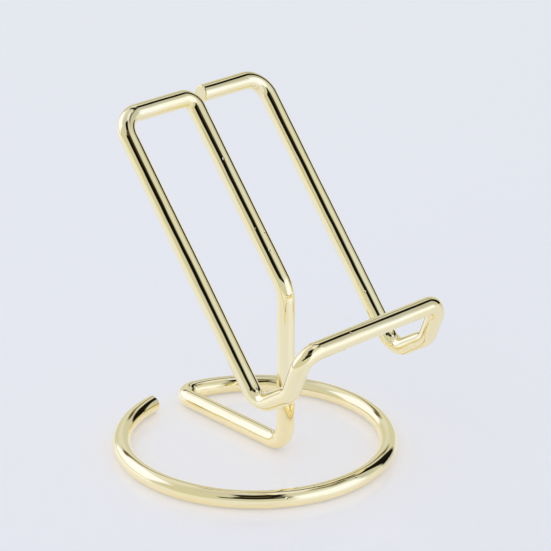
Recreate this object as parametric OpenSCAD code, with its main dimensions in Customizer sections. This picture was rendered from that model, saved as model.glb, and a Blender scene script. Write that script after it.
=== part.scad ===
// Table number holder: one round wire bent into a ring base, an upright stem,
// a reclined back of three parallel rods and a two-hook ledge with a front rail.
//
// Frame: +Z up, +X to the right of the holder, -Y towards the person who reads the card.
// The origin is the centre of the base ring, on the table. Millimetres.

/* [Wire] */
// Diameter of the round wire
wire_d = 5; // [4:0.5:6]
// Width of the broken edge on both cut ends
end_chamfer = 0.4; // [0.2:0.1:0.8]

/* [Base] */
// Outside diameter of the ring that lies on the table
ring_od = 78; // [74:1:90]
// Direction of the ring's cut end from the ring's centre, with 90 straight back
ring_end_angle = 98; // [95:1:130]
// Centreline radius of the sharp bend where the ring turns inwards
heel_bend_r = 4.2; // [3.5:0.1:6]
// Angle of the arm from the front-to-back direction
arm_yaw = 2.5; // [0:0.5:6]

/* [Stem] */
// Sideways place of the stem from the ring's centre
stem_x = 3; // [0:0.5:5]
// Front-to-back place of the stem from the ring's centre
stem_y = -8.7; // [-12:0.1:0]
// Height of the corner where the stem starts to lean back
neck_z = 48; // [44:1:54]
// Centreline radius of the bend from the arm up into the stem
foot_bend_r = 5.5; // [4:0.5:8]
// Centreline radius of the bend where the stem leans back
neck_bend_r = 10; // [6:1:20]

/* [Back] */
// Lean of the three back rods from upright
lean = 38.7; // [30:0.1:42]
// Height of the top bars' centreline
top_z = 93.5; // [85:0.5:105]
// Distance between neighbouring back rods, centre to centre
rod_spacing = 25.7; // [22:0.1:32]
// Centreline radius of the bend at the top of the centre rod
centre_bend_r = 3.5; // [3:0.1:6]
// Centreline radius of the bends at the two outer top corners
corner_bend_r = 6; // [4:0.5:9]
// Distance from the centre rod's axis to the wire's cut end
free_end_gap = 3.5; // [3.3:0.1:8]

/* [Card ledge] */
// Height of the corner where a side rod turns into its ledge
ledge_z = 28; // [24:0.5:34]
// Length of the ledge, from corner to corner
ledge_len = 13.6; // [12.5:0.1:18]
// Rise of the ledge towards the front, from level
ledge_tilt = 32.5; // [20:0.5:36]
// Length of the lip, from corner to corner
lip_len = 12.4; // [11:0.1:18]
// Lean of the lip towards the front, from upright
lip_lean = 20; // [5:1:30]
// Centreline radius of the bend from a side rod into its ledge
ledge_bend_r = 5.5; // [4:0.1:6]
// Centreline radius of the bend from a ledge into its lip
lip_bend_r = 5; // [4:0.1:6]
// Centreline radius of the bends between the lips and the front rail
rail_bend_r = 5.2; // [4:0.1:6]

/* [Hidden] */
$fn = 96;

wire_color = [0.93, 0.84, 0.60];
wire_r = wire_d / 2;
ring_r = ring_od / 2 - wire_r;
left_x = stem_x - rod_spacing;
right_x = stem_x + rod_spacing;

// Corners of the route, where the straight lengths would meet if they had no bends
foot = [stem_x, stem_y, wire_r];
neck = [stem_x, stem_y, neck_z];
centre_top = back_point(stem_x, top_z);
left_top = back_point(left_x, top_z);
right_top = back_point(right_x, top_z);

// The heel bend touches the ring's circle from inside and the arm's line from its right
arm_back = [sin(arm_yaw), cos(arm_yaw), 0];
arm_side = [cos(arm_yaw), -sin(arm_yaw), 0];
heel_across = foot * arm_side + heel_bend_r;
heel_along = sqrt(pow(ring_r - heel_bend_r, 2) - pow(heel_across, 2));
heel_centre = heel_across * arm_side + heel_along * arm_back;
heel_angle = atan2(heel_centre.y, heel_centre.x);
heel_turn = 180 - arm_yaw - heel_angle;
heel_start = [ring_r * cos(heel_angle), ring_r * sin(heel_angle), wire_r];
heel_end = heel_centre - heel_bend_r * arm_side + [0, 0, wire_r];
heel = heel_end + heel_bend_r * tan(heel_turn / 2) * arm_back;

// Point of the reclined back plane at a given sideways place and height
function back_point(x, z) = [x, stem_y + (z - neck_z) * tan(lean), z];

// Corners of one card hook, from the side rod to the front rail
function ledge_back(x) = back_point(x, ledge_z);
function ledge_front(x) = ledge_back(x) + ledge_len * [0, -cos(ledge_tilt), sin(ledge_tilt)];
function lip_top(x) = ledge_front(x) + lip_len * [0, -sin(lip_lean), cos(lip_lean)];

function unit(v) = v / norm(v);
function turn(before, corner, after) = acos(unit(corner - before) * unit(after - corner));

// Length that a bend takes from each straight length at its corner
function trim(before, corner, after, bend_r) = bend_r * tan(turn(before, corner, after) / 2);

// Places children in a frame given by its origin and its x and y directions
module frame_at(place, x_dir, y_dir) {
    z_dir = cross(x_dir, y_dir);
    multmatrix([
        [x_dir.x, y_dir.x, z_dir.x, place.x],
        [x_dir.y, y_dir.y, z_dir.y, place.y],
        [x_dir.z, y_dir.z, z_dir.z, place.z]
    ])
        children();
}

// Arc of wire about the origin, from the x axis towards the y axis
module arc(arc_r, angle, start = 0) {
    rotate_extrude(angle = angle, start = start)
        translate([arc_r, 0])
            circle(d = wire_d);
}

// Cut end of the wire with its broken edge, from the full wire outwards along +Z
module cut_end() {
    cylinder(d1 = wire_d, d2 = wire_d - 2 * end_chamfer, h = end_chamfer);
}

// Wire bent at a corner, then straight towards the next corner, less what that corner's bend takes
module bent_length(before, corner, after, bend_r, trim_after) {
    way_out = unit(after - corner);
    bend_trim = trim(before, corner, after, bend_r);
    bend_end = corner + bend_trim * way_out;
    inward = unit(way_out - unit(corner - before));
    bend_centre = corner + inward * norm([bend_trim, bend_r]);
    frame_at(bend_centre, unit(bend_end - bend_centre), -way_out) {
        arc(bend_r, turn(before, corner, after));
        translate([bend_r, 0, 0])
            rotate([90, 0, 0])
                cylinder(d = wire_d, h = norm(after - corner) - bend_trim - trim_after);
    }
}

// Ring that lies on the table, with its cut end near the heel
module base_ring() {
    color(wire_color)
        translate([0, 0, wire_r])
            rotate([0, 0, ring_end_angle]) {
                arc(ring_r, 360 + heel_angle - ring_end_angle);
                translate([ring_r, 0, 0]) rotate([90, 0, 0]) cut_end();
            }
}

// Sharp heel bend and the arm that runs from the back of the ring to its middle
module base_arm() {
    color(wire_color)
        bent_length(heel_start, heel, foot, heel_bend_r, trim(heel, foot, neck, foot_bend_r));
}

// Foot bend and the upright stem
module stem() {
    color(wire_color)
        bent_length(heel, foot, neck, foot_bend_r, trim(foot, neck, centre_top, neck_bend_r));
}

// Neck bend and the middle one of the three reclined rods
module centre_rod() {
    color(wire_color)
        bent_length(foot, neck, centre_top, neck_bend_r, trim(neck, centre_top, left_top, centre_bend_r));
}

// Bend over the centre rod's top and the bar that runs from it to the left corner
module top_left_bar() {
    corner_trim = trim(centre_top, left_top, ledge_back(left_x), corner_bend_r);
    color(wire_color)
        bent_length(neck, centre_top, left_top, centre_bend_r, corner_trim);
}

// Top corner bend and the reclined rod below it, on the side given by x
module side_rod(x) {
    ledge_trim = trim(back_point(x, top_z), ledge_back(x), ledge_front(x), ledge_bend_r);
    color(wire_color)
        bent_length(centre_top, back_point(x, top_z), ledge_back(x), corner_bend_r, ledge_trim);
}

// Bend at the foot of a side rod and the ledge that a card's lower edge stands on
module ledge(x) {
    lip_trim = trim(ledge_back(x), ledge_front(x), lip_top(x), lip_bend_r);
    color(wire_color)
        bent_length(back_point(x, top_z), ledge_back(x), ledge_front(x), ledge_bend_r, lip_trim);
}

// Bend at the front of a ledge and the lip that stops the card sliding off
module lip(x) {
    color(wire_color)
        bent_length(ledge_back(x), ledge_front(x), lip_top(x), lip_bend_r, rail_bend_r);
}

// Rail across the front, with the right-angled bend at each end down into a lip
module front_rail() {
    rail_len = right_x - left_x;
    color(wire_color)
        frame_at(lip_top(left_x), [1, 0, 0], unit(lip_top(left_x) - ledge_front(left_x))) {
            translate([rail_bend_r, -rail_bend_r, 0]) arc(rail_bend_r, 90, 90);
            translate([rail_bend_r, 0, 0])
                rotate([0, 90, 0])
                    cylinder(d = wire_d, h = rail_len - 2 * rail_bend_r);
            translate([rail_len - rail_bend_r, -rail_bend_r, 0]) arc(rail_bend_r, 90);
        }
}

// Bar from the right corner to the wire's cut end beside the centre rod
module top_right_bar() {
    bar_len = rod_spacing - corner_bend_r - free_end_gap - end_chamfer;
    color(wire_color)
        translate(right_top - [corner_bend_r, 0, 0])
            rotate([0, -90, 0]) {
                cylinder(d = wire_d, h = bar_len);
                translate([0, 0, bar_len]) cut_end();
            }
}

base_ring();
base_arm();
stem();
centre_rod();
top_left_bar();
side_rod(left_x);  // left_rod
ledge(left_x);  // left_ledge
lip(left_x);  // left_lip
front_rail();
lip(right_x);  // right_lip
ledge(right_x);  // right_ledge
side_rod(right_x);  // right_rod
top_right_bar();
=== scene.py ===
"""Looks of the table number holder: one bent wire, mirror-polished and plated in pale gold.

Every piece is swept along the same centreline as its CAD node, with the surface that wire
bending and plating leave: slightly flattened bends, out-of-round wire, faint drawing lines and
duller cut ends. The route is worked out in millimetres and degrees, in the CAD frame, and the
meshes are in metres.
"""
import math

import bpy
import numpy as np
from mathutils import Matrix, Vector


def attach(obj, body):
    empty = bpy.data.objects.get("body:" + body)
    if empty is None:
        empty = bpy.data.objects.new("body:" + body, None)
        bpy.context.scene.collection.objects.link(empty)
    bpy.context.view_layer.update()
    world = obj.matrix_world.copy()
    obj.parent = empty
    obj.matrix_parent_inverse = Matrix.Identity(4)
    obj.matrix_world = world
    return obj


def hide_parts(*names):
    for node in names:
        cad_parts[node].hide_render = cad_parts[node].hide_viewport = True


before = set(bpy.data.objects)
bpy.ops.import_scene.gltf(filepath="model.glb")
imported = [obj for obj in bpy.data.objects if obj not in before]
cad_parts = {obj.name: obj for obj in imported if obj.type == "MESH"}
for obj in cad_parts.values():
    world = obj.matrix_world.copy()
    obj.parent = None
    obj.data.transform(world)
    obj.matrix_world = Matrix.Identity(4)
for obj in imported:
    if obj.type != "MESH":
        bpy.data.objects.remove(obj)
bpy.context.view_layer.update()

MM = 0.001

# ---- The wire's driving dimensions, the same as the CAD model's
WIRE_RADIUS = 2.5
END_CHAMFER = 0.4
RING_RADIUS = 36.5
RING_END_ANGLE = 98.0
HEEL_BEND = 4.2
ARM_YAW = 2.5
STEM_X = 3.0
STEM_Y = -8.7
NECK_Z = 48.0
FOOT_BEND = 5.5
NECK_BEND = 10.0
LEAN = 38.7
TOP_Z = 93.5
ROD_SPACING = 25.7
CENTRE_BEND = 3.5
CORNER_BEND = 6.0
FREE_END_GAP = 3.5
LEDGE_Z = 28.0
LEDGE_LENGTH = 13.6
LEDGE_TILT = 32.5
LIP_LENGTH = 12.4
LIP_LEAN = 20.0
LEDGE_BEND = 5.5
LIP_BEND = 5.0
RAIL_BEND = 5.2
LEFT_X = STEM_X - ROD_SPACING
RIGHT_X = STEM_X + ROD_SPACING

# The pieces in the order in which the wire runs, named as the CAD nodes that they replace
PIECES = [
    "base_ring", "base_arm", "stem", "centre_rod", "top_left_bar", "left_rod", "left_ledge",
    "left_lip", "front_rail", "right_lip", "right_ledge", "right_rod", "top_right_bar",
]
# The rail is the one piece with a bend at both ends; the pieces before it begin with their bend
# and the pieces after it end with theirs.
RAIL_FIRST_CORNER = PIECES.index("front_rail") - 1

# ---- Mesh density: vertices round the wire; longest step in millimetres, along a straight or round
# the ring; longest step in degrees along a bend, and the fewest steps that a bend takes
AROUND = 72
STRAIGHT_STEP = 1.2
BEND_STEP = 3.0
FEWEST_BEND_STEPS = 8
# Bands of faces on the rounded edge and on the face of a cut end
EDGE_BANDS = 5
FACE_BANDS = 7
# Material slots of a piece
POLISHED, CUT_FACE = 0, 1

# ---- Marks of forming
# Share of the wire's radius that the middle of a bend loses on its inner and outer sides
BEND_FLATTENING = 0.035
# Depth of the dish in the face of a cut end
FACE_DISH = 0.07
# Out-of-round wire: depth, wavelength along the wire, lobes round it, and the phases of the two
WAVES = [
    (0.024, 47.0, 2, 0.4, 1.1),
    (0.012, 21.0, 3, 2.0, 0.3),
    (0.008, 9.5, 2, 4.1, 2.6),
    (0.003, 5.2, 4, 1.3, 5.0),
]


def unit(v):
    return v / np.linalg.norm(v)


def unit_rows(v):
    return v / np.linalg.norm(v, axis=1, keepdims=True)


class Route:
    """The wire's centreline: stations with a place, a direction, the inward side of the bend
    that they are in, and how deep in that bend they are, from 0 to 1."""

    def __init__(self):
        self.places, self.directions, self.sides, self.depths = [], [], [], []
        self.cuts = [0]

    def add(self, place, direction, side=(0.0, 0.0, 0.0), depth=0.0):
        """One station, which is on a straight unless it is given a side and a depth."""
        self.places.append(np.array(place, float))
        self.directions.append(unit(np.array(direction, float)))
        self.sides.append(np.array(side, float))
        self.depths.append(depth)

    def straight_to(self, end):
        """Stations from the last one to a point, along a straight line."""
        start = self.places[-1]
        count = max(1, math.ceil(np.linalg.norm(end - start) / STRAIGHT_STEP))
        for i in range(1, count + 1):
            self.add(start + (end - start) * i / count, end - start)

    def bend(self, way_in, way_out, radius):
        """Stations along an arc that starts at the last one and turns from way_in to way_out."""
        angle = math.acos(float(way_in @ way_out))
        inward = unit(way_out - (way_out @ way_in) * way_in)
        start = self.places[-1]
        count = max(FEWEST_BEND_STEPS, math.ceil(math.degrees(angle) / BEND_STEP))
        for i in range(1, count + 1):
            turned = angle * i / count
            place = start + radius * (math.sin(turned) * way_in + (1 - math.cos(turned)) * inward)
            direction = math.cos(turned) * way_in + math.sin(turned) * inward
            side = math.cos(turned) * inward - math.sin(turned) * way_in
            self.add(place, direction, side, math.sin(math.pi * i / count) ** 2)

    def cut(self):
        """Ends a piece at the last station."""
        self.cuts.append(len(self.places) - 1)


def back_point(x, z):
    """Point of the reclined back's plane at a sideways place and a height."""
    return np.array([x, STEM_Y + (z - NECK_Z) * math.tan(math.radians(LEAN)), z])


def hook_corners(x):
    """Corners of a card hook: foot of the side rod, front of the ledge, top of the lip."""
    tilt, lip_lean = math.radians(LEDGE_TILT), math.radians(LIP_LEAN)
    foot = back_point(x, LEDGE_Z)
    front = foot + LEDGE_LENGTH * np.array([0, -math.cos(tilt), math.sin(tilt)])
    top = front + LIP_LENGTH * np.array([0, -math.sin(lip_lean), math.cos(lip_lean)])
    return [foot, front, top]


def heel_geometry():
    """Angle on the ring where the heel bend begins, and the corner that the bend rounds off."""
    yaw = math.radians(ARM_YAW)
    arm_back = np.array([math.sin(yaw), math.cos(yaw), 0])
    arm_side = np.array([math.cos(yaw), -math.sin(yaw), 0])
    across = np.array([STEM_X, STEM_Y, 0]) @ arm_side + HEEL_BEND
    along = math.sqrt((RING_RADIUS - HEEL_BEND) ** 2 - across**2)
    centre = across * arm_side + along * arm_back
    angle = math.atan2(centre[1], centre[0])
    reach = HEEL_BEND * math.tan((math.pi - yaw - angle) / 2)
    corner = centre - HEEL_BEND * arm_side + reach * arm_back + np.array([0, 0, WIRE_RADIUS])
    return angle, corner


def wire_route():
    """Follows the wire from the ring's cut end to the top bar's, with a cut between pieces."""
    heel_angle, heel = heel_geometry()
    route = Route()
    start, end = math.radians(RING_END_ANGLE), 2 * math.pi + heel_angle
    count = math.ceil((end - start) * RING_RADIUS / STRAIGHT_STEP)
    for i in range(count + 1):
        a = start + (end - start) * i / count
        place = (RING_RADIUS * math.cos(a), RING_RADIUS * math.sin(a), WIRE_RADIUS)
        route.add(place, (-math.sin(a), math.cos(a), 0))

    corners = [
        heel,
        np.array([STEM_X, STEM_Y, WIRE_RADIUS]),
        np.array([STEM_X, STEM_Y, NECK_Z]),
        back_point(STEM_X, TOP_Z),
        back_point(LEFT_X, TOP_Z),
        *hook_corners(LEFT_X),
        *reversed(hook_corners(RIGHT_X)),
        back_point(RIGHT_X, TOP_Z),
        back_point(STEM_X + FREE_END_GAP + END_CHAMFER, TOP_Z),
    ]
    radii = [
        HEEL_BEND, FOOT_BEND, NECK_BEND, CENTRE_BEND, CORNER_BEND, LEDGE_BEND, LIP_BEND,
        RAIL_BEND, RAIL_BEND, LIP_BEND, LEDGE_BEND, CORNER_BEND,
    ]
    way_in = route.directions[-1]
    for i, radius in enumerate(radii):
        way_out = unit(corners[i + 1] - corners[i])
        if i > 0:
            trim = radius * math.tan(math.acos(float(way_in @ way_out)) / 2)
            route.straight_to(corners[i] - trim * way_in)
        if i <= RAIL_FIRST_CORNER:
            route.cut()
        route.bend(way_in, way_out, radius)
        if i > RAIL_FIRST_CORNER:
            route.cut()
        way_in = way_out
    route.straight_to(corners[-1])
    route.cut()
    return route


def sweep(route):
    """Surface points of the whole wire, one ring of them for each station, with their normals and
    their places along and across the straightened wire."""
    places, directions = np.array(route.places), np.array(route.directions)
    sides, depths = np.array(route.sides), np.array(route.depths)
    steps = np.linalg.norm(np.diff(places, axis=0), axis=1)
    travelled = np.concatenate([[0.0], np.cumsum(steps)])
    turn = np.arange(AROUND) * 2 * math.pi / AROUND

    # Two directions across the wire, carried along it without twist
    first = np.array([0.0, 0.0, 1.0])
    offsets = np.empty((len(places), AROUND, 3))
    for i, direction in enumerate(directions):
        first = unit(first - (first @ direction) * direction)
        second = np.cross(direction, first)
        offsets[i] = np.cos(turn)[:, None] * first + np.sin(turn)[:, None] * second

    radius = np.full((len(places), AROUND), WIRE_RADIUS)
    for depth, wavelength, lobes, phase_along, phase_round in WAVES:
        along = np.sin(2 * math.pi * travelled / wavelength + phase_along)
        # Each wave is taken off the wire's radius, so the surface stays inside the CAD's
        radius += depth * (along[:, None] * np.cos(lobes * turn + phase_round)[None, :] - 1)
    across = offsets * radius[..., None]
    inward = (across * sides[:, None, :]).sum(2)
    squeeze = BEND_FLATTENING * depths
    surface = places[:, None, :] + across - (squeeze[:, None] * inward)[..., None] * sides[:, None, :]

    round_it = np.roll(surface, -1, axis=1) - np.roll(surface, 1, axis=1)
    along_it = np.gradient(surface, axis=0)
    normals = np.cross(along_it, round_it)
    normals /= np.linalg.norm(normals, axis=2, keepdims=True)
    outward = np.sign((normals * offsets).sum(2, keepdims=True))
    straightened = np.empty_like(surface)
    straightened[..., 0] = travelled[:, None]
    straightened[..., 1] = radius * np.cos(turn)
    straightened[..., 2] = radius * np.sin(turn)
    return surface, normals * outward, straightened


class Skin:
    """Vertices, faces and corner normals of one closed piece, added to ring by ring."""

    def __init__(self):
        self.points, self.wire_points, self.faces, self.normals, self.slots = [], [], [], [], []

    def ring(self, points, wire_points):
        """Adds vertices, and returns the number of the first."""
        start = sum(len(p) for p in self.points)
        self.points.append(points)
        self.wire_points.append(wire_points)
        return start

    def band(self, a, b, normals_a, normals_b, flip, slot=POLISHED):
        """Quads between two rings of AROUND vertices that start at a and b."""
        for j in range(AROUND):
            k = (j + 1) % AROUND
            face = [a + j, a + k, b + k, b + j]
            corner_normals = [normals_a[j], normals_a[k], normals_b[k], normals_b[j]]
            if flip:
                face.reverse()
                corner_normals.reverse()
            self.faces.append(face)
            self.normals.append(corner_normals)
            self.slots.append(slot)

    def fan(self, ring, centre, normal, flip, slot=POLISHED):
        """Triangles from a ring to a centre vertex, all with one normal."""
        for j in range(AROUND):
            face = [ring + j, ring + (j + 1) % AROUND, centre]
            if flip:
                face.reverse()
            self.faces.append(face)
            self.normals.append([normal] * 3)
            self.slots.append(slot)


def close_seam(skin, ring, place, direction, wire_place, flip):
    """Flat cap where one piece meets the next."""
    centre = skin.ring(np.array([place]), np.array([wire_place]))
    skin.fan(ring, centre, direction, flip)


def close_cut_end(skin, ring, surface, normals, wire_ring, place, direction, wire_step, flip):
    """Rounded edge and slightly dished, duller face where the wire was cut off."""
    across = surface - place
    radius = np.linalg.norm(across, axis=1).mean()
    wire_reach = np.array([wire_step * END_CHAMFER, 0, 0])
    last_ring, last_normals = ring, normals
    for i in range(1, EDGE_BANDS + 1):
        turned = math.pi / 2 * i / EDGE_BANDS
        scale = (radius - END_CHAMFER * (1 - math.cos(turned))) / radius
        out = END_CHAMFER * math.sin(turned)
        points = place + across * scale + direction * out
        wire_points = wire_ring * np.array([1, scale, scale]) + np.array([wire_step * out, 0, 0])
        edge_normals = normals * math.cos(turned) + direction * math.sin(turned)
        start = skin.ring(points, wire_points)
        skin.band(last_ring, start, last_normals, edge_normals, flip)
        last_ring, last_normals = start, edge_normals
    rim = across * (radius - END_CHAMFER) / radius
    face_normals = np.repeat(direction[None, :], AROUND, axis=0)
    last_normals = face_normals
    for i in range(1, FACE_BANDS):
        inner = 1 - i / FACE_BANDS
        sunk = FACE_DISH * (1 - inner**2)
        points = place + rim * inner + direction * (END_CHAMFER - sunk)
        wire_points = wire_ring * np.array([1, inner, inner]) + wire_reach
        slope = 2 * FACE_DISH * inner / radius
        tilted = face_normals - unit_rows(rim) * slope
        start = skin.ring(points, wire_points)
        skin.band(last_ring, start, last_normals, tilted, flip, CUT_FACE)
        last_ring, last_normals = start, tilted
    centre_point = place + direction * (END_CHAMFER - FACE_DISH)
    wire_centre = np.array([wire_ring[0][0] + wire_step * END_CHAMFER, 0, 0])
    centre = skin.ring(np.array([centre_point]), np.array([wire_centre]))
    skin.fan(last_ring, centre, direction, flip, CUT_FACE)


def make_piece(name, route, swept, begin, end):
    """One piece's closed mesh between two stations, with corner normals and the wire_space
    attribute, which holds each point's place on the straightened wire."""
    surface, normals, straightened = swept
    skin = Skin()
    starts = [skin.ring(surface[i], straightened[i]) for i in range(begin, end + 1)]
    for i in range(begin, end):
        a, b = starts[i - begin], starts[i - begin + 1]
        skin.band(a, b, normals[i], normals[i + 1], False)
    for station, ring, sign in ((begin, starts[0], -1), (end, starts[-1], 1)):
        place, direction = route.places[station], sign * route.directions[station]
        flip = sign < 0
        if station in (0, len(route.places) - 1):
            close_cut_end(skin, ring, surface[station], normals[station], straightened[station],
                          place, direction, sign, flip)
        else:
            wire_place = np.array([straightened[station][0][0], 0, 0])
            close_seam(skin, ring, place, direction, wire_place, flip)

    mesh = bpy.data.meshes.new(name + "_wire")
    mesh.from_pydata(np.concatenate(skin.points) * MM, [], skin.faces)
    mesh.polygons.foreach_set("use_smooth", [True] * len(mesh.polygons))
    mesh.polygons.foreach_set("material_index", skin.slots)
    attribute = mesh.attributes.new("wire_space", "FLOAT_VECTOR", "POINT")
    attribute.data.foreach_set("vector", np.concatenate(skin.wire_points).ravel())
    mesh.update()
    corner_normals = np.concatenate([np.array(n) for n in skin.normals])
    mesh.normals_split_custom_set(unit_rows(corner_normals).tolist())
    piece = bpy.data.objects.new(name + "_wire", mesh)
    bpy.context.scene.collection.objects.link(piece)
    return piece


# ---------------------------------------------------------------- materials
# Sockets of the Mix node's colour form, several of which share a name
MIX_FACTOR, MIX_A, MIX_B, MIX_RESULT = 0, 6, 7, 2


class Nodes:
    """Short way to add and link shader nodes."""

    def __init__(self, tree):
        self.tree = tree
        tree.nodes.clear()

    def add(self, kind, values=None, **settings):
        """A node with its settings, and each input linked to a socket or set to a constant."""
        node = self.tree.nodes.new(kind)
        for name, value in settings.items():
            setattr(node, name, value)
        for socket, value in (values or {}).items():
            if isinstance(value, bpy.types.NodeSocket):
                self.tree.links.new(value, node.inputs[socket])
            else:
                node.inputs[socket].default_value = value
        return node

    def math(self, operation, a, b=0.0):
        return self.add("ShaderNodeMath", {0: a, 1: b}, operation=operation).outputs[0]

    def dot(self, a, b):
        node = self.add("ShaderNodeVectorMath", {0: a, 1: b}, operation="DOT_PRODUCT")
        return node.outputs["Value"]

    def smooth(self, value, low, high, at_low, at_high):
        """Smooth step from at_low to at_high, as the value goes from low to high."""
        ends = {"From Min": low, "From Max": high, "To Min": at_low, "To Max": at_high}
        node = self.add(
            "ShaderNodeMapRange", {"Value": value, **ends}, interpolation_type="SMOOTHSTEP"
        )
        return node.outputs[0]

    def mix(self, factor, a, b):
        """Colour a where the factor is 0, and b where it is 1."""
        node = self.add("ShaderNodeMix", {MIX_FACTOR: factor, MIX_A: a, MIX_B: b}, data_type="RGBA")
        return node.outputs[MIX_RESULT]


# The plate's tint varies between these two
PALE_GOLD = (0.975, 0.885, 0.595, 1)
WARM_GOLD = (0.98, 0.87, 0.54, 1)
# Noise of each mark: its scale per millimetre along the wire and across it, and its detail
TINT = (0.05, 0.2, 3.0)
DRAWING_LINES = (0.12, 9.0, 2.0)
GRAIN = (2.2, 2.2, 4.0)
HAZE = (0.15, 0.5, 2.0)
SCORE_LINES = (1.0, 1.6, 6.0)
# Values of a noise at which its mark begins and is complete
TINT_RANGE = (0.35, 0.65)
HAZE_RANGE = (0.35, 0.75)
SCORE_RANGE = (0.3, 0.7)
# Shares of the drawing lines and of the grain in the polished surface's relief
LINES_SHARE = 0.5
GRAIN_SHARE = 0.5
# Scale of the nicks' cells, and how far a nick's floor and rim reach from its cell's point
NICK_SCALE = (0.17, 0.23)
NICK_FLOOR = 0.02
NICK_RIM = 0.075
# Roughness where a mark begins and where it is complete
POLISHED_ROUGHNESS = (0.02, 0.05)
CUT_FACE_ROUGHNESS = (0.32, 0.45)
# Strength of each relief, and its depth in metres
POLISHED_RELIEF = {"Strength": 0.05, "Distance": 0.00005}
NICK_RELIEF = {"Strength": 0.6, "Distance": 0.00012}
SCORE_RELIEF = {"Strength": 0.5, "Distance": 0.0001}


def new_material(name):
    """A material with an empty node tree, and the helper that fills it."""
    material = bpy.data.materials.new(name)
    material.use_nodes = True
    return material, Nodes(material.node_tree)


def wire_space(nodes, along, across):
    """Coordinates of the straightened wire in millimetres, scaled along it and across it."""
    place = nodes.add("ShaderNodeAttribute", attribute_name="wire_space").outputs["Vector"]
    scale = (along, across, across)
    return nodes.add("ShaderNodeMapping", {"Vector": place, "Scale": scale}).outputs[0]


def wire_noise(nodes, along, across, detail):
    """Noise fixed to the wire."""
    values = {"Vector": wire_space(nodes, along, across), "Scale": 1.0, "Detail": detail}
    return nodes.add("ShaderNodeTexNoise", values).outputs[0]


def relief(nodes, height, depth, beneath=None):
    """Bumped normal from a height, over the normal of another relief if there is one."""
    values = {"Height": height, **depth}
    if beneath is not None:
        values["Normal"] = beneath
    return nodes.add("ShaderNodeBump", values).outputs[0]


def finish_gold(nodes, colour, roughness, normal):
    """Metal surface as the material's output."""
    surface = nodes.add(
        "ShaderNodeBsdfPrincipled",
        {"Base Color": colour, "Metallic": 1.0, "Roughness": roughness, "Normal": normal},
    )
    nodes.add("ShaderNodeOutputMaterial", {"Surface": surface.outputs[0]})


def polished_gold():
    """Mirror-polished pale gold plate, with faint drawing lines, haze and a few small nicks."""
    material, nodes = new_material("polished_gold_plate")
    tint = nodes.smooth(wire_noise(nodes, *TINT), *TINT_RANGE, 0, 1)
    colour = nodes.mix(tint, PALE_GOLD, WARM_GOLD)
    roughness = nodes.smooth(wire_noise(nodes, *HAZE), *HAZE_RANGE, *POLISHED_ROUGHNESS)
    lines = nodes.math("MULTIPLY", wire_noise(nodes, *DRAWING_LINES), LINES_SHARE)
    grain = nodes.math("MULTIPLY", wire_noise(nodes, *GRAIN), GRAIN_SHARE)
    polished = relief(nodes, nodes.math("ADD", lines, grain), POLISHED_RELIEF)
    cells = {"Vector": wire_space(nodes, *NICK_SCALE), "Scale": 1.0}
    from_point = nodes.add("ShaderNodeTexVoronoi", cells).outputs["Distance"]
    nick = nodes.smooth(from_point, NICK_FLOOR, NICK_RIM, 0, 1)
    finish_gold(nodes, colour, roughness, relief(nodes, nick, NICK_RELIEF, polished))
    return material


def cut_face_gold():
    """Plated face of a cut end: the same gold over the cutter's score lines, so it shines less."""
    material, nodes = new_material("cut_face_gold_plate")
    lines = wire_noise(nodes, *SCORE_LINES)
    colour = nodes.mix(nodes.smooth(lines, *SCORE_RANGE, 0, 1), PALE_GOLD, WARM_GOLD)
    roughness = nodes.smooth(lines, *SCORE_RANGE, *CUT_FACE_ROUGHNESS)
    finish_gold(nodes, colour, roughness, relief(nodes, lines, SCORE_RELIEF))
    return material


# ---------------------------------------------------------------- studio
# A tent of white cloth round the table, as the gold sees it. The power keeps the change from the
# horizon's light to the light overhead near the top.
TENT_AT_HORIZON = (0.66, 0.675, 0.61, 1)
TENT_OVERHEAD = (0.62, 0.62, 0.66, 1)
OVERHEAD_POWER = 8.0
# Soft boxes, cloths and dark gaps in the tent, each lying over the ones before it. Each has its name,
# azimuth (0 straight ahead of the holder, 90 to its right), elevation, tilt, half width, half height
# and edge blur in degrees, and its light.
PANELS = [
    ("overhead_softbox", 65, 78, 0, 11, 11, 7, (0.90, 0.93, 1.10)),
    ("back_cloth", 165, 45, 0, 30, 22, 20, (0.78, 0.80, 0.80)),
    ("left_softbox", -160, 27, 0, 28, 22, 8, (1.05, 1.13, 1.50)),
    ("front_cloth", 18, 16, 0, 34, 32, 14, (0.78, 0.83, 0.86)),
    ("front_right_softbox", 19, 13, 0, 30, 22, 8, (1.03, 1.12, 1.42)),
    ("slot_shoulder", 60, 32, -18, 9, 22, 8, (0.56, 0.58, 0.58)),
    ("tent_corner", 50, 58, 0, 7, 10, 6, (0.24, 0.23, 0.19)),
    ("low_seam", 140, 33, 0, 26, 3, 4, (0.16, 0.12, 0.05)),
    ("tent_edge", 108, 61.5, 0, 24, 3.5, 4, (0.02, 0.017, 0.01)),
    ("slot", 86, 26, -10, 12, 32, 5, (0.01, 0.008, 0.006)),
    ("opening_right", -23, 46, 0, 6, 12, 7, (0.22, 0.23, 0.21)),
    ("opening_low", -44, 34, 0, 26, 6, 4, (0.006, 0.005, 0.004)),
    ("opening_middle", -45, 44, 0, 14, 8, 6, (0.006, 0.005, 0.004)),
    ("opening_high", -38, 64, 0, 13, 17, 5, (0.006, 0.005, 0.004)),
    ("opening_inside", -43, 52, 0, 8.5, 8, 5, (0.085, 0.065, 0.035)),
]
BACKDROP = (0.76, 0.79, 0.86, 1)
# Light that reaches the floor from all round, directly and by way of the gold
EVEN_LIGHT = (0.80, 0.80, 0.80, 1)
BOUNCED_LIGHT = (2.1, 1.6, 0.7, 1)
# Least part of a direction along a panel's axis, so that a panel doesn't show behind as well
LEAST_AHEAD = 0.01


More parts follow.
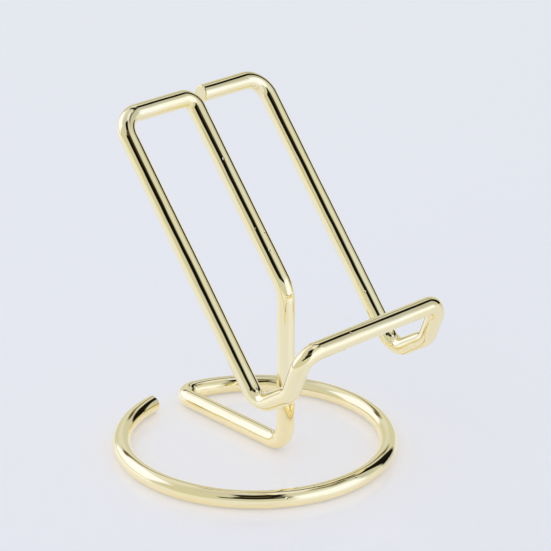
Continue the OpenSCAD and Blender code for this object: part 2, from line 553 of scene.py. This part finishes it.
def panel_mask(nodes, direction, azimuth, elevation, tilt, half_width, half_height, blur):
    """1 inside a rectangle that faces the table from that direction, 0 outside it."""
    a, e = math.radians(azimuth), math.radians(elevation)
    facing = Vector((math.sin(a) * math.cos(e), -math.cos(a) * math.cos(e), math.sin(e)))
    right = Vector((math.cos(a), math.sin(a), 0))
    up = facing.cross(right)
    turn = Matrix.Rotation(math.radians(tilt), 3, facing)
    right, up = turn @ right, turn @ up
    ahead = nodes.math("MAXIMUM", nodes.dot(direction, facing), LEAST_AHEAD)
    masks = []
    for axis, half in ((right, half_width), (up, half_height)):
        off = nodes.math("ABSOLUTE", nodes.dot(direction, axis))
        tangent = nodes.math("DIVIDE", off, ahead)
        degrees = nodes.math("MULTIPLY", nodes.math("ARCTANGENT", tangent), 180 / math.pi)
        masks.append(nodes.smooth(degrees, half - blur / 2, half + blur / 2, 1, 0))
    return nodes.math("MULTIPLY", *masks)


def studio_world():
    """Plain pale backdrop for the camera, the tent for reflections, and even light for what the
    floor scatters, which is warmer where it comes by way of the gold."""
    world = bpy.data.worlds.new("studio")
    bpy.context.scene.world = world
    world.use_nodes = True
    world.cycles.sampling_method = "NONE"
    nodes = Nodes(world.node_tree)
    direction = nodes.add("ShaderNodeTexCoord").outputs["Generated"]
    height = nodes.add("ShaderNodeSeparateXYZ", {0: direction}).outputs["Z"]
    high = nodes.math("POWER", nodes.math("MAXIMUM", height, 0.0), OVERHEAD_POWER)
    light = nodes.mix(high, TENT_AT_HORIZON, TENT_OVERHEAD)
    for _, *shape, colour in PANELS:
        light = nodes.mix(panel_mask(nodes, direction, *shape), light, (*colour, 1))
    tent = nodes.add("ShaderNodeBackground", {"Color": light, "Strength": 1.0})
    path = nodes.add("ShaderNodeLightPath")
    # The depth counts how often the light was scattered, so it is a whole number
    from_floor = nodes.math("GREATER_THAN", path.outputs["Diffuse Depth"], 0.5)
    scattered = nodes.mix(path.outputs["Is Glossy Ray"], EVEN_LIGHT, BOUNCED_LIGHT)
    even = nodes.add("ShaderNodeBackground", {"Color": scattered, "Strength": 1.0})
    backdrop = nodes.add("ShaderNodeBackground", {"Color": BACKDROP, "Strength": 1.0})
    lit = nodes.add("ShaderNodeMixShader", {0: from_floor, 1: tent.outputs[0], 2: even.outputs[0]})
    to_camera = path.outputs["Is Camera Ray"]
    shown = nodes.add("ShaderNodeMixShader", {0: to_camera, 1: lit.outputs[0], 2: backdrop.outputs[0]})
    nodes.add("ShaderNodeOutputWorld", {"Surface": shown.outputs[0]})


FLOOR_HALF = 6.0
FLOOR_COLOUR = (0.62, 0.64, 0.70, 1)
FLOOR_ROUGHNESS = 0.22
FLOOR_SPECULAR = 0.4
# The floor's own light lifts it to the backdrop's paleness, and lifts it a little more in the gold
FLOOR_GLOW = (0.88, 0.91, 1.03, 1)
FLOOR_GLOW_SEEN = 0.265
FLOOR_GLOW_IN_GOLD = 0.315


def studio_floor():
    """Plain pale floor: one large square with a satin surface that glows faintly."""
    mesh = bpy.data.meshes.new("studio_floor")
    corners = [(x * FLOOR_HALF, y * FLOOR_HALF, 0) for x, y in ((-1, -1), (1, -1), (1, 1), (-1, 1))]
    mesh.from_pydata(corners, [], [(0, 1, 2, 3)])
    floor = bpy.data.objects.new("studio_floor", mesh)
    bpy.context.scene.collection.objects.link(floor)
    material, nodes = new_material("studio_floor_card")
    in_gold = nodes.add("ShaderNodeLightPath").outputs["Is Glossy Ray"]
    glow = nodes.smooth(in_gold, 0, 1, FLOOR_GLOW_SEEN, FLOOR_GLOW_IN_GOLD)
    surface = nodes.add(
        "ShaderNodeBsdfPrincipled",
        {
            "Base Color": FLOOR_COLOUR,
            "Roughness": FLOOR_ROUGHNESS,
            "Specular IOR Level": FLOOR_SPECULAR,
            "Emission Color": FLOOR_GLOW,
            "Emission Strength": glow,
        },
    )
    nodes.add("ShaderNodeOutputMaterial", {"Surface": surface.outputs[0]})
    mesh.materials.append(material)


# Square light above the holder's left, in metres and watts
KEY_PLACE = (-0.9, -0.2, 0.9)
KEY_TARGET = (0, 0, 0)
KEY_SIZE = 0.8
KEY_WATTS = 1.5


def softbox(name, place, target, size, watts):
    """Square area light that lights the floor, casts a faint soft shadow and isn't seen in the gold."""
    data = bpy.data.lights.new(name, "AREA")
    data.shape = "SQUARE"
    data.size = size
    data.energy = watts
    light = bpy.data.objects.new(name, data)
    light.location = place
    light.rotation_euler = (Vector(target) - Vector(place)).to_track_quat("-Z", "Y").to_euler()
    light.visible_glossy = False
    bpy.context.scene.collection.objects.link(light)


# ---------------------------------------------------------------- camera
# Angles in degrees, places in metres, lens and sensor in millimetres
CAMERA_AZIMUTH = -44.84
CAMERA_ELEVATION = 22.13
CAMERA_ROLL = 0.21
CAMERA_DISTANCE = 0.685
CAMERA_TARGET = (0.00944, 0.00183, 0.04742)
CAMERA_LENS = 165.8
SENSOR = 36.0


def studio_camera():
    """Camera at its azimuth and elevation round the target, with a slight roll."""
    a, e = math.radians(CAMERA_AZIMUTH), math.radians(CAMERA_ELEVATION)
    back = Vector((math.sin(a) * math.cos(e), -math.cos(a) * math.cos(e), math.sin(e)))
    right = Vector((math.cos(a), math.sin(a), 0))
    upright = Matrix((right, back.cross(right), back)).transposed()
    turn = upright @ Matrix.Rotation(math.radians(CAMERA_ROLL), 3, "Z")
    place = Vector(CAMERA_TARGET) + CAMERA_DISTANCE * back
    data = bpy.data.cameras.new("studio_camera")
    data.sensor_width = SENSOR
    data.lens = CAMERA_LENS
    camera = bpy.data.objects.new("studio_camera", data)
    camera.matrix_world = Matrix.Translation(place) @ turn.to_4x4()
    bpy.context.scene.collection.objects.link(camera)
    bpy.context.scene.camera = camera


# ---------------------------------------------------------------- build
studio_camera()
studio_world()
studio_floor()
softbox("key_softbox", KEY_PLACE, KEY_TARGET, KEY_SIZE, KEY_WATTS)
bpy.context.scene.view_settings.view_transform = "Standard"

wire = wire_route()
swept_wire = sweep(wire)
gold, cut_gold = polished_gold(), cut_face_gold()
for number, piece_name in enumerate(PIECES):
    wire_piece = make_piece(piece_name, wire, swept_wire, wire.cuts[number], wire.cuts[number + 1])
    wire_piece.data.materials.append(gold)
    wire_piece.data.materials.append(cut_gold)
    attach(wire_piece, "root")
    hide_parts(piece_name)
